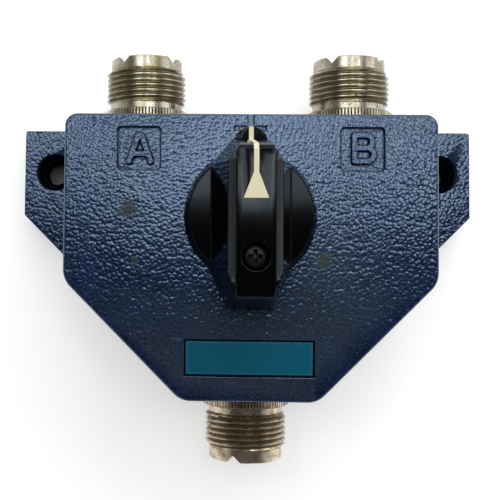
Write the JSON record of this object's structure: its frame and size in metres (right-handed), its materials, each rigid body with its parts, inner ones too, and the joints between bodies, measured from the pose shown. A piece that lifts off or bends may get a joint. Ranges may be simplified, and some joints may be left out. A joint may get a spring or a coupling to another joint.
{
  "type": "coaxial antenna switch",
  "caption": "Die-cast coaxial antenna selector: lever knob on the front, threaded coaxial ports on its edges and two mounting ears.",
  "frame": {"origin": "where the axis of the knob's shaft meets the rear mounting face", "axes": "+Z out of the front face along the shaft, +Y towards the wall with the two antenna ports, +X towards port B"},
  "size_m": [0.0926, 0.0792, 0.0487],
  "materials": {
    "case_enamel": "blue-grey hammered stove enamel on a die casting",
    "label_enamel": "thin aluminium plate, teal enamel, left bare",
    "nickel": "brass with a dull, slightly yellowed nickel plating",
    "insulator": "off-white fluoropolymer",
    "contact_brass": "brass with a thin, tarnished silver plating",
    "spring_bronze": "phosphor bronze strip",
    "steel": "plain turned steel",
    "bush_brass": "plain turned brass",
    "rotor_resin": "brown moulded phenolic resin",
    "knob_black": "black moulded plastic, half gloss",
    "line_cream": "cream filling of the pointer line",
    "black_steel": "blackened steel",
    "plated_steel": "zinc-plated steel"
  },
  "bodies": {
    "case": {"housing": "case_enamel", "label_plate": "label_enamel", "shell_a": "nickel", "shell_b": "nickel", "shell_common": "nickel", "insulator_a": "insulator", "insulator_b": "insulator", "insulator_common": "insulator", "contact_a": "contact_brass", "contact_b": "contact_brass", "contact_common": "contact_brass", "clip_a": "spring_bronze", "clip_b": "spring_bronze", "ground_clip": "spring_bronze", "common_finger": "spring_bronze", "stop_pin": "steel", "bushing": "bush_brass", "rear_cover": "plated_steel", "cover_screws": "plated_steel"},
    "selector": {"shaft": "steel", "stop_disc": "steel", "retaining_ring": "steel", "ground_plate": "contact_brass", "rotor": "rotor_resin", "rotor_blade": "contact_brass", "rotor_stud": "contact_brass", "knob": "knob_black", "pointer_line": "line_cream", "knob_screw": "black_steel"}
  },
  "joints": [
    {"name": "selector_turn", "type": "hinge", "parent": "case", "child": "selector", "pos_m": [0, 0, 0], "axis": [0, 0, 1], "range_deg": [-45, 45]}
  ]
}
